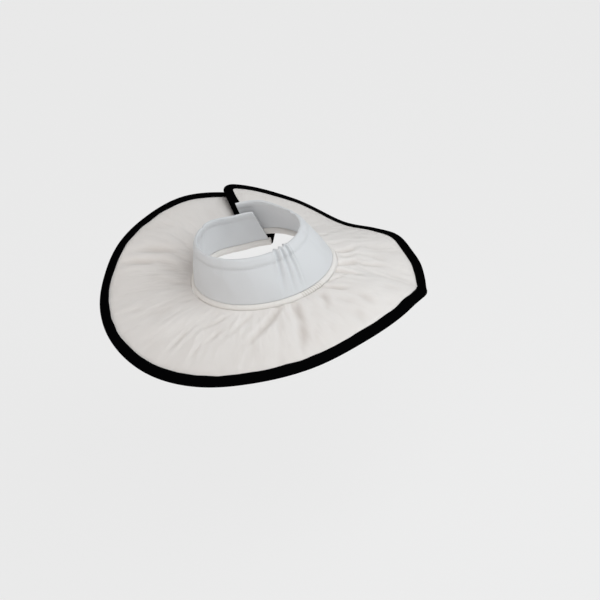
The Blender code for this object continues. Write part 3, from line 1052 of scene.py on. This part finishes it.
@dataclass
class EdgeBinding:
    """The black tape folded over the rim and down both ends of the ring."""

    drape: Drape
    step: float = 0.8
    side_start: float = 0.0016
    side_rows: int = 34
    corner_rows: int = 16
    crown: float = 0.00035
    wave: float = 0.0005
    wave_size: float = 0.014
    ripple: float = 0.0002
    ripple_size: float = 0.006
    thread: float = 0.0012
    thread_rise: float = 0.0001
    bare_rows: int = 4

    def stations(self) -> list[tuple[str, float, float, float, float]]:
        """Stations along the bound edge: one end, the rim and the other end.

        Returns:
            For each station the end that it belongs to or "rim", its inset or running angle, its reach,
            and the direction towards the pad across the end and along the reach.
        """
        d = self.drape
        corner, straight = d.corner_radius, d.pad_reach - d.corner_radius
        runs = np.linspace(self.side_start, straight, self.side_rows, endpoint=False)
        side = [(0.0, float(run), 1.0, 0.0) for run in runs]
        for a in np.radians(np.linspace(0, 90, self.corner_rows)):
            place = (corner * (1 - math.cos(a)), straight + corner * math.sin(a))
            side.append((*place, math.cos(a), -math.sin(a)))
        turns = even_steps(*d.run(corner, d.pad_reach), self.step)[1:-1]
        rim = [("rim", float(turn), d.pad_reach, 0.0, -1.0) for turn in turns]
        return [("first", *row) for row in side] + rim + [("last", *row) for row in reversed(side)]

    def place(self, station: tuple, depth: Array, height: Array) -> Array:
        """Places at one station.

        Args:
            station: one row of the stations.
            depth: distances from the pad's outline towards its middle.
            height: heights above the sheet's middle.

        Returns:
            The places.
        """
        end, at, reach, across, along = station
        out = reach + depth * along
        turn = np.full_like(out, at) if end == "rim" else self.drape.end_turn(end, at + depth * across, out)
        return self.drape.place(turn, out, height)

    def line(self, depth: float, height: float) -> Array:
        """One place at each station."""
        return np.array([self.place(s, np.array([depth]), np.array([height]))[0] for s in self.stations()])

    def section(self, lip: float, puff: float) -> tuple[Array, Array]:
        """The tape's section as depths from the outline and heights.

        Args:
            lip: depth of the tape's edge.
            puff: height that the ripples add to its faces.

        Returns:
            The depths and the heights of its points.
        """
        d = self.drape
        inner, outer = d.edge_half + d.clearance, d.tape_outer
        shares = np.array([0.06, 0.2, 0.4, 0.6, 0.8])
        face = lip + (d.edge_half - lip) * shares
        crown = outer + self.crown * np.sin(np.pi * shares) + puff
        arc, back = np.radians(np.linspace(90, -90, 13)), np.radians(np.linspace(-90, 90, 7))
        nose = (d.edge_half - outer * np.cos(arc), outer * np.sin(arc))
        fold = (d.edge_half - inner * np.cos(back), inner * np.sin(back))
        middle = (inner + outer) / 2
        depth = [[lip], face, nose[0], face[::-1], [lip, lip], fold[0], [lip]]
        height = [[middle], crown, nose[1], -crown[::-1], [-middle, -inner], fold[1], [inner]]
        return np.concatenate(depth), np.concatenate(height)

    def build(self) -> None:
        """Builds the tape."""
        d = self.drape
        gaps = np.linalg.norm(np.diff(self.line(d.lip / 2, 0.0), axis=0), axis=1)
        length = np.concatenate([[0.0], np.cumsum(gaps)])
        waves = rough(stacked(length, 0.0, 0.0), self.wave_size, seed=4.4) * 2 * self.wave
        ripples = rough(stacked(length, 0.0, 0.0), self.ripple_size, seed=8.8) * self.ripple
        rows, grain = [], []
        for station, along, wave, ripple in zip(self.stations(), length, waves, ripples):
            depth, height = self.section(d.lip + wave, ripple)
            rows.append(self.place(station, depth, height))
            around = np.concatenate([[0.0], np.cumsum(np.hypot(np.diff(depth), np.diff(height)))])
            grain.append(stacked(along, around, 0.0))
        points = np.concatenate(rows)
        traits = {"grain": np.concatenate(grain), "fold": np.zeros(len(points))}
        mesh = mesh_from("bound_edge", points, tube_faces(len(rows), len(rows[0])), traits)
        piece = show("bound_edge", mesh, BLACK_TAPE, "black_tape")
        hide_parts("edge_binding")

    def stitch_path(self, side: float) -> tuple[Array, Array]:
        """The line of stitches near the tape's edge.

        Args:
            side: 1 for the upper face and -1 for the underside.

        Returns:
            Its places and the direction in which each stitch lies.
        """
        d = self.drape
        line = self.line(d.lip - self.thread, side * (d.tape_outer + self.thread_rise))
        places = line[self.bare_rows : -self.bare_rows]
        return places, directions(places)


@dataclass
class NeckPiping:
    """The corded piping: a round welt along the neck seam, with its cover gathered at the right front."""

    drape: Drape
    step: float = 0.3
    sides: int = 22
    rib_from: float = 294.5
    rib_to: float = 319.5
    rib_fade: float = 4.0
    rib_pitch: float = 2.3
    rib_slant: float = 0.012
    rib_height: float = 0.00045
    wrinkle: float = 0.00016
    wrinkle_size: float = 0.0022
    wrinkle_stretch: float = 0.25
    # Painted shade in the gaps between the ribs, as a share of the shade colour.
    rib_shade: float = 0.6
    thread_level: float = 0.0021
    ditch_reach: float = 0.0009
    seam_end: float = 3.0
    bound_from: float = 233.0
    bound_to: float = 266.0
    bound_inner: float = -0.0002
    bound_level: float = 0.0028
    bound_outer: float = 0.0016
    path_step: float = 0.5

    def build(self) -> None:
        """Builds the welt."""
        d = self.drape
        turn = even_steps(d.first_turn, d.last_turn, self.step)[:, None]
        around = np.radians(np.linspace(0, 360, self.sides, endpoint=False))[None, :]
        in_ribs = eased((turn - self.rib_from) / self.rib_fade)
        in_ribs = in_ribs * eased((self.rib_to - turn) / self.rib_fade)
        slanted = turn + np.degrees(around) * self.rib_slant
        valley = (0.5 - 0.5 * np.cos(2 * np.pi * slanted / self.rib_pitch)) ** 2
        where = stacked(np.radians(turn) * d.seam_radius, around * d.piping_radius, 0.0)
        long_ways = where * np.array([1.0, self.wrinkle_stretch, 1.0])
        cords = rough(long_ways, self.wrinkle_size, seed=2.7) * self.wrinkle * 2
        size = d.piping_radius - self.rib_height * in_ribs * valley + np.minimum(cords, 0) * (1 - in_ribs)
        points = d.at_seam(turn, size, around).reshape(-1, 3)
        # The fold trait is painted shade in the gaps between the ribs.
        traits = {"grain": where.reshape(-1, 3), "fold": (in_ribs * valley * self.rib_shade).ravel()}
        mesh = mesh_from("corded_piping", points, tube_faces(len(turn), self.sides), traits)
        piece = show("corded_piping", mesh, PIPING_COTTON, "cream_piping")
        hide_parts("neck_piping")

    def seam_path(self) -> tuple[Array, Array]:
        """Stitches that run in the ditch between the piping and the ring.

        Returns:
            The places and the direction in which each stitch lies.
        """
        d = self.drape
        turn = np.arange(d.first_turn + self.seam_end, d.last_turn - self.seam_end, self.path_step)
        places = d.place(turn, self.ditch_reach, self.thread_level)
        return places, directions(places)

    def bound_path(self) -> tuple[Array, Array]:
        """Stitches that bind over the seam at the front of the ring.

        Returns:
            The places and the direction in which each stitch lies.
        """
        turn = np.arange(self.bound_from, self.bound_to, self.path_step)
        inner = self.drape.place(turn, self.bound_inner, self.bound_level)
        outer = self.drape.place(turn, self.bound_outer, self.thread_level)
        lay = outer - inner
        return (inner + outer) / 2, lay / np.linalg.norm(lay, axis=1, keepdims=True)


@dataclass
class NeckCuff:
    """The soft cuff that stands up round the neck, pleated at its right front.

    The roll sizes shape the swell beside each pleat, in shares of the pleat's depth and half width. The lean
    of the cuff is its shift from foot to hem. The tint is painted shade in the bottoms of the pleats.
    """

    drape: Drape
    height: float = 0.0365
    top_radius: float = 0.047
    mean_radius: float = 0.055
    wall: float = 0.002
    bulge: float = 0.0012
    shift_x: float = -0.0073
    shift_y: float = 0.002
    hem: float = 0.008
    hem_extra: float = 0.0006
    pleat_depth: float = 0.0028
    pleat_power: float = 0.8
    roll: float = 0.3
    roll_at: float = 1.6
    roll_width: float = 0.8
    # tint: strength of the painted shade in the bottoms of the pleats.
    tint: float = 0.5
    lump: float = 0.0011
    lump_size: float = 0.016
    lump_end: float = 0.9
    sink: float = 0.00025
    sink_share: float = 0.06
    end_inset: float = 0.002
    thread_sink: float = 0.0001
    path_first: float = 4.0
    path_last: float = 3.0
    path_step: float = 0.7
    flat_width: float = 0.4
    flat_height: float = 0.0395
    step: float = 0.6

    def pleats(self, turn: Array, share: Array) -> Array:
        """How far the pleats draw the cloth in.

        Args:
            turn: running angles in degrees.
            share: shares of the cuff's height.

        Returns:
            Shares of the deepest pleat, below 0 on the rolls beside each.
        """
        total = np.zeros(np.broadcast(turn, share).shape)
        for row in CUFF_PLEATS:
            centre = row.azimuth_seam + (row.azimuth_hem - row.azimuth_seam) * share
            t = past(turn, centre) / (row.width * 0.5)
            total += row.depth * (bell(t) - self.roll * bell((np.abs(t) - self.roll_at) / self.roll_width))
        return total

    def place(self, turn: Array, share: Array, outward: Array) -> Array:
        """Places on the cuff's wall.

        Args:
            turn: running angles in degrees.
            share: shares of its height.
            outward: distances outward from its middle.

        Returns:
            The places.
        """
        d = self.drape
        turn, share, outward = np.broadcast_arrays(turn, share, outward)
        base = d.seam_radius + d.cuff_overhang - self.wall / 2
        top = self.top_radius - self.wall / 2
        layer = d.layer(turn)
        drawn = self.pleats(turn, share) * self.pleat_depth * np.clip(share, 0, 1) ** self.pleat_power
        lumps = stacked(np.radians(turn) * self.mean_radius, share * self.height, 0.0)
        full = np.sin(np.pi * np.clip(share, 0, self.lump_end))
        drawn += rough(lumps, self.lump_size, seed=6.1) * self.lump * full
        radius = base + (top - base) * share + self.bulge * np.sin(np.pi * share) - drawn + outward
        level = d.piping_level + d.piping_radius + d.clearance + self.height * share + layer * d.lift
        level -= self.sink * eased(1 - share / self.sink_share)
        lean = stacked(self.shift_x * share, self.shift_y * share, 0.0)
        return round_neck(radius + layer * d.tuck, turn, level) + lean

    def section(self) -> tuple[Array, Array]:
        """The wall's section, up the outside and down the inside.

        Returns:
            Shares of the height and distances outward.
        """
        hem = 1 - self.hem / self.height
        half, thick = self.wall / 2, self.wall / 2 + self.hem_extra
        rise = [0.0, 0.02, 0.06, 0.12, 0.2, 0.28, 0.36, 0.44, 0.52, 0.6, 0.68, hem - 0.03]
        outer = [(s, half) for s in rise]
        outer += [(hem, half * 0.75), (hem + 0.03, thick), (hem + 0.1, thick * 1.06)]
        outer += [(0.93, thick), (0.975, thick * 0.8)]
        share, outward = np.array([*outer, (1.0, 0.0), *((s, -w) for s, w in reversed(outer))]).T
        return share, outward

    def build(self) -> None:
        """Builds the cuff."""
        turn = even_steps(*self.drape.run(self.end_inset, 0.0), self.step)[:, None]
        share, outward = (row[None, :] for row in self.section())
        points = self.place(turn, share, outward)
        grain = stacked(np.radians(turn) * self.mean_radius, share * self.height, outward)
        # Painted shade: the fold trait darkens the cuff's colour in its pleats.
        fold = np.clip(self.pleats(turn, share) * share, 0, 1) * self.tint
        traits = {"grain": grain.reshape(-1, 3), "fold": fold.ravel()}
        faces = tube_faces(len(turn), share.size)
        mesh = mesh_from("standing_cuff", points.reshape(-1, 3), faces, traits)
        piece = show("standing_cuff", mesh, CUFF_COTTON, "white_cuff")
        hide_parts("neck_cuff")

    def hem_path(self) -> tuple[Array, Array]:
        """Stitches along the foot of the hem.

        Returns:
            The places and the direction in which each stitch lies.
        """
        first, last = self.drape.first_turn + self.path_first, self.drape.last_turn - self.path_last
        turn = np.arange(first, last, self.path_step)
        places = self.place(turn, 1 - self.hem / self.height, self.wall / 2 - self.thread_sink)
        return places, directions(places)


@dataclass
class Closure:
    """The lapped closure at the nape: a hook-and-loop patch and the stitches that hold it."""

    drape: Drape
    spread: float = 13.0
    margin: float = 0.016
    columns: int = 40
    rows: int = 70
    pile: float = 0.00012
    pile_size: float = 0.0016
    grain_radius: float = 0.1
    thread_turn: float = 0.8
    thread_inset: float = 0.002
    thread_rise: float = 0.00005
    side_points: int = 40

    def build(self) -> None:
        """Builds the patch."""
        d = self.drape
        turn = np.linspace(d.closure - self.spread / 2, d.closure + self.spread / 2, self.columns)[:, None]
        run = np.linspace(self.margin, d.pad_reach - self.margin, self.rows)
        reach = np.concatenate([run, run[::-1]])[None, :]
        height = np.repeat([d.patch / 2, -d.patch / 2], self.rows)[None, :]
        grain = stacked(np.radians(turn) * self.grain_radius, reach, height)
        height = height * (1 - 2 * self.pile / d.patch * (0.5 + rough(grain, self.pile_size, seed=1.9)))
        points = d.place(turn, reach, height, layer=0.0).reshape(-1, 3)
        traits = {"grain": grain.reshape(-1, 3), "fold": np.zeros(len(points))}
        faces = tube_faces(self.columns, 2 * self.rows)
        mesh = mesh_from("hook_and_loop_patch", points, faces, traits)
        piece = show("hook_and_loop_patch", mesh, HOOK_AND_LOOP, "hook_and_loop")
        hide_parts("closure_patch")

    def box_path(self, cover: Object) -> tuple[Array, Array]:
        """Stitches through the upper end, round the patch below it.

        Args:
            cover: the padded ring, on whose surface they lie.

        Returns:
            The places and the direction in which each stitch lies.
        """
        d = self.drape
        low, high = (d.closure + 360 + side * (self.spread / 2 - self.thread_turn) for side in (-1, 1))
        near, far = self.margin + self.thread_inset, d.pad_reach - self.margin - self.thread_inset
        corners = np.array([(low, near), (high, near), (high, far), (low, far), (low, near)])
        ends = zip(corners, corners[1:])
        sides = [np.linspace(a, b, self.side_points, endpoint=False) for a, b in ends]
        turn, reach = np.concatenate(sides).T
        tree = BVHTree.FromObject(cover, bpy.context.evaluated_depsgraph_get())
        found = (tree.find_nearest(Vector(place)) for place in d.place(turn, reach, d.tape_outer))
        places = np.array([spot + facing * self.thread_rise for spot, facing, _, _ in found])
        return places, directions(places)


class Stitcher:
    """Lays stitches along paths with one Geometry Nodes tree."""

    segments: int = 6
    rings: int = 5
    shortest: float = 0.85
    longest: float = 1.1
    seed: int = 5

    def __init__(self) -> None:
        """Builds the tree."""
        self.tree = bpy.data.node_groups.new("stitches_along_a_path", "GeometryNodeTree")
        self.inputs: dict[str, str] = {}
        self._build()

    def _build(self) -> None:
        """Resamples the path and lays one stitch on each of its points."""
        tree = self.tree
        kinds = {"Geometry": "Geometry", "Thread": "Material"}
        for name in ("Geometry", "Spacing", "Length", "Width", "Thread"):
            kind = f"NodeSocket{kinds.get(name, 'Float')}"
            socket = tree.interface.new_socket(name, in_out="INPUT", socket_type=kind)
            self.inputs[name] = socket.identifier
        tree.interface.new_socket("Geometry", in_out="OUTPUT", socket_type="NodeSocketGeometry")
        given = add_node(tree, "NodeGroupInput")
        curve = add_node(tree, "GeometryNodeMeshToCurve", {"Mesh": given["Geometry"]})
        path = {"Curve": curve["Curve"], "Length": given["Spacing"]}
        even = add_node(tree, "GeometryNodeResampleCurve", path, mode="LENGTH")
        stitch = add_node(tree, "GeometryNodeMeshUVSphere", {"Segments": self.segments, "Rings": self.rings})
        lay = add_node(tree, "GeometryNodeInputNamedAttribute", {"Name": "lay"}, data_type="FLOAT_VECTOR")
        turn = add_node(tree, "FunctionNodeAlignRotationToVector", {"Vector": lay["Attribute"]}, axis="X")
        uneven = {"Min": self.shortest, "Max": self.longest, "Seed": self.seed}
        jitter = add_node(tree, "FunctionNodeRandomValue", uneven)
        length = add_math(tree, "MULTIPLY", given["Length"], jitter[1])
        width = given["Width"]
        size = add_node(tree, "ShaderNodeCombineXYZ", {"X": length, "Y": width, "Z": width})
        laid = {
            "Points": even["Curve"],
            "Instance": stitch["Mesh"],
            "Rotation": turn["Rotation"],
            "Scale": size["Vector"],
        }
        place = add_node(tree, "GeometryNodeInstanceOnPoints", laid)
        real = add_node(tree, "GeometryNodeRealizeInstances", {"Geometry": place["Instances"]})
        sewn = {"Geometry": real["Geometry"], "Material": given["Thread"]}
        finish = add_node(tree, "GeometryNodeSetMaterial", sewn)
        add_node(tree, "NodeGroupOutput", {"Geometry": finish["Geometry"]})

    def sew(self, name: str, paths: list, finish: ClothFinish, slot: str, size: StitchSize) -> None:
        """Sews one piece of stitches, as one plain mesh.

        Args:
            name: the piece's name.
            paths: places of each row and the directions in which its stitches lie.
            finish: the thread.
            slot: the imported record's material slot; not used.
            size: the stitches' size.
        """
        edges, start = [], 0
        for places, _ in paths:
            edges += [(i, i + 1) for i in range(start, start + len(places) - 1)]
            start += len(places)
        mesh = bpy.data.meshes.new(f"{name}_path")
        mesh.from_pydata(np.concatenate([places for places, _ in paths]).tolist(), edges, [])
        add_trait(mesh, "lay", np.concatenate([along for _, along in paths]))
        path = link(bpy.data.objects.new(f"{name}_path", mesh))
        modifier = path.modifiers.new("stitches", "NODES")
        modifier.node_group = self.tree
        modifier[self.inputs["Spacing"]] = size.spacing
        modifier[self.inputs["Length"]] = size.length / 2
        modifier[self.inputs["Width"]] = size.width / 2
        modifier[self.inputs["Thread"]] = material_of(finish)
        graph = bpy.context.evaluated_depsgraph_get()
        sewn = bpy.data.meshes.new_from_object(path.evaluated_get(graph), depsgraph=graph)
        bpy.data.objects.remove(path, do_unlink=True)
        sewn.name = name
        add_trait(sewn, "grain", places_of(sewn))
        sewn.shade_smooth()
        show(name, sewn, finish, slot)


@dataclass
class Studio:
    """A plain pale room with soft light, and the camera where the photograph was taken from."""

    elevation: float = math.radians(30.8)
    roll: float = math.radians(10.9)
    distance: float = 1.7
    lens: float = 115.99
    sensor: float = 36.0
    frame: float = 600.0
    seen_x: float = 264.3
    seen_y: float = 272.3
    floor_level: float = -0.24
    floor_half: float = 20.0
    floor_tone: float = 0.08
    floor_glow: float = 0.765
    sky: float = 0.51
    sky_tone: float = 0.84

    def axes(self) -> tuple[Vector, Vector, Vector]:
        """The way the camera faces.

        Returns:
            Its right, up and backward directions.
        """
        back = Vector((0.0, -math.cos(self.elevation), math.sin(self.elevation)))
        right = Vector((1.0, 0.0, 0.0))
        up = back.cross(right)
        turned_right = math.cos(self.roll) * right - math.sin(self.roll) * up
        turned_up = math.sin(self.roll) * right + math.cos(self.roll) * up
        return turned_right, turned_up, back

    def camera(self) -> None:
        """Adds the camera, which sees the neck seam's centre where the photograph has it."""
        right, up, back = self.axes()
        focal = self.lens / self.sensor * self.frame
        off_x = (self.seen_x - self.frame / 2) * self.distance / focal
        off_y = -(self.seen_y - self.frame / 2) * self.distance / focal
        data = bpy.data.cameras.new("photo_camera")
        data.lens, data.sensor_width = self.lens, self.sensor
        data.clip_end = 100.0
        camera = link(bpy.data.objects.new("photo_camera", data))
        place = self.distance * back - off_x * right - off_y * up
        turn = Matrix((right, up, back)).transposed()
        camera.matrix_world = Matrix.Translation(place) @ turn.to_4x4()
        bpy.context.scene.camera = camera

    @staticmethod
    def light(lamp: Lamp) -> None:
        """Adds one light.

        Args:
            lamp: its place, power, spread and colour.
        """
        data = bpy.data.lights.new(lamp.name, lamp.kind)
        data.energy, data.color = lamp.power, lamp.color
        if lamp.kind == "SUN":
            data.angle = math.radians(lamp.spread)
        else:
            data.size = lamp.spread
        light = link(bpy.data.objects.new(lamp.name, data))
        light.location = lamp.place
        light.rotation_mode = "QUATERNION"
        light.rotation_quaternion = Vector(lamp.place).to_track_quat("Z", "Y")

    def floor(self) -> None:
        """Adds the plain pale floor."""
        half = self.floor_half
        mesh = bpy.data.meshes.new("floor")
        corners = [(-half, -half), (half, -half), (half, half), (-half, half)]
        mesh.from_pydata([(x, y, self.floor_level) for x, y in corners], [], [(0, 1, 2, 3)])
        material = bpy.data.materials.new("pale_floor")
        material.use_nodes = True
        looks = {
            "Base Color": (*[self.floor_tone] * 3, 1.0),
            "Emission Color": (1.0, 1.0, 1.0, 1.0),
            "Emission Strength": self.floor_glow,
            "Roughness": 1.0,
            "Specular IOR Level": 0.0,
        }
        feed(material.node_tree, material.node_tree.nodes["Principled BSDF"], looks)
        mesh.materials.append(material)
        floor = link(bpy.data.objects.new("floor", mesh))

    def build(self) -> None:
        """Adds the camera, the lights, the floor and the room's own light."""
        scene = bpy.context.scene
        scene.view_settings.view_transform = "Standard"
        self.camera()
        for lamp in LAMPS:
            self.light(lamp)
        self.floor()
        world = bpy.data.worlds.new("room")
        world.use_nodes = True
        looks = {"Color": (*[self.sky_tone] * 3, 1.0), "Strength": self.sky}
        feed(world.node_tree, world.node_tree.nodes["Background"], looks)
        scene.world = world


def main() -> None:
    """Builds the dressed collar and its studio."""
    logging.basicConfig(level=logging.INFO, format="%(message)s")
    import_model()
    drape = Drape()
    Studio().build()
    cover = PaddedRing(drape).build()
    binding, piping, cuff, closure = EdgeBinding(drape), NeckPiping(drape), NeckCuff(drape), Closure(drape)
    for part in (binding, piping, cuff, closure):
        part.build()

    sew = Stitcher().sew
    edge_rows = [binding.stitch_path(1.0), binding.stitch_path(-1.0)]
    sew("edge_stitches", edge_rows, BLACK_THREAD, "black_tape", EDGE_STITCH)
    seam_rows = [piping.seam_path()]
    sew("seam_stitches", seam_rows, CREAM_THREAD, "cream_piping", SEAM_STITCH)
    bound_rows = [piping.bound_path()]
    sew("binding_stitches", bound_rows, CREAM_THREAD, "cream_piping", BINDING_STITCH)
    sew("hem_stitches", [cuff.hem_path()], WHITE_THREAD, "white_cuff", HEM_STITCH)
    box_rows = [closure.box_path(cover)]
    sew("patch_stitches", box_rows, CREAM_THREAD, "cream_cover", PATCH_STITCH)


if __name__ == "__main__":
    main()
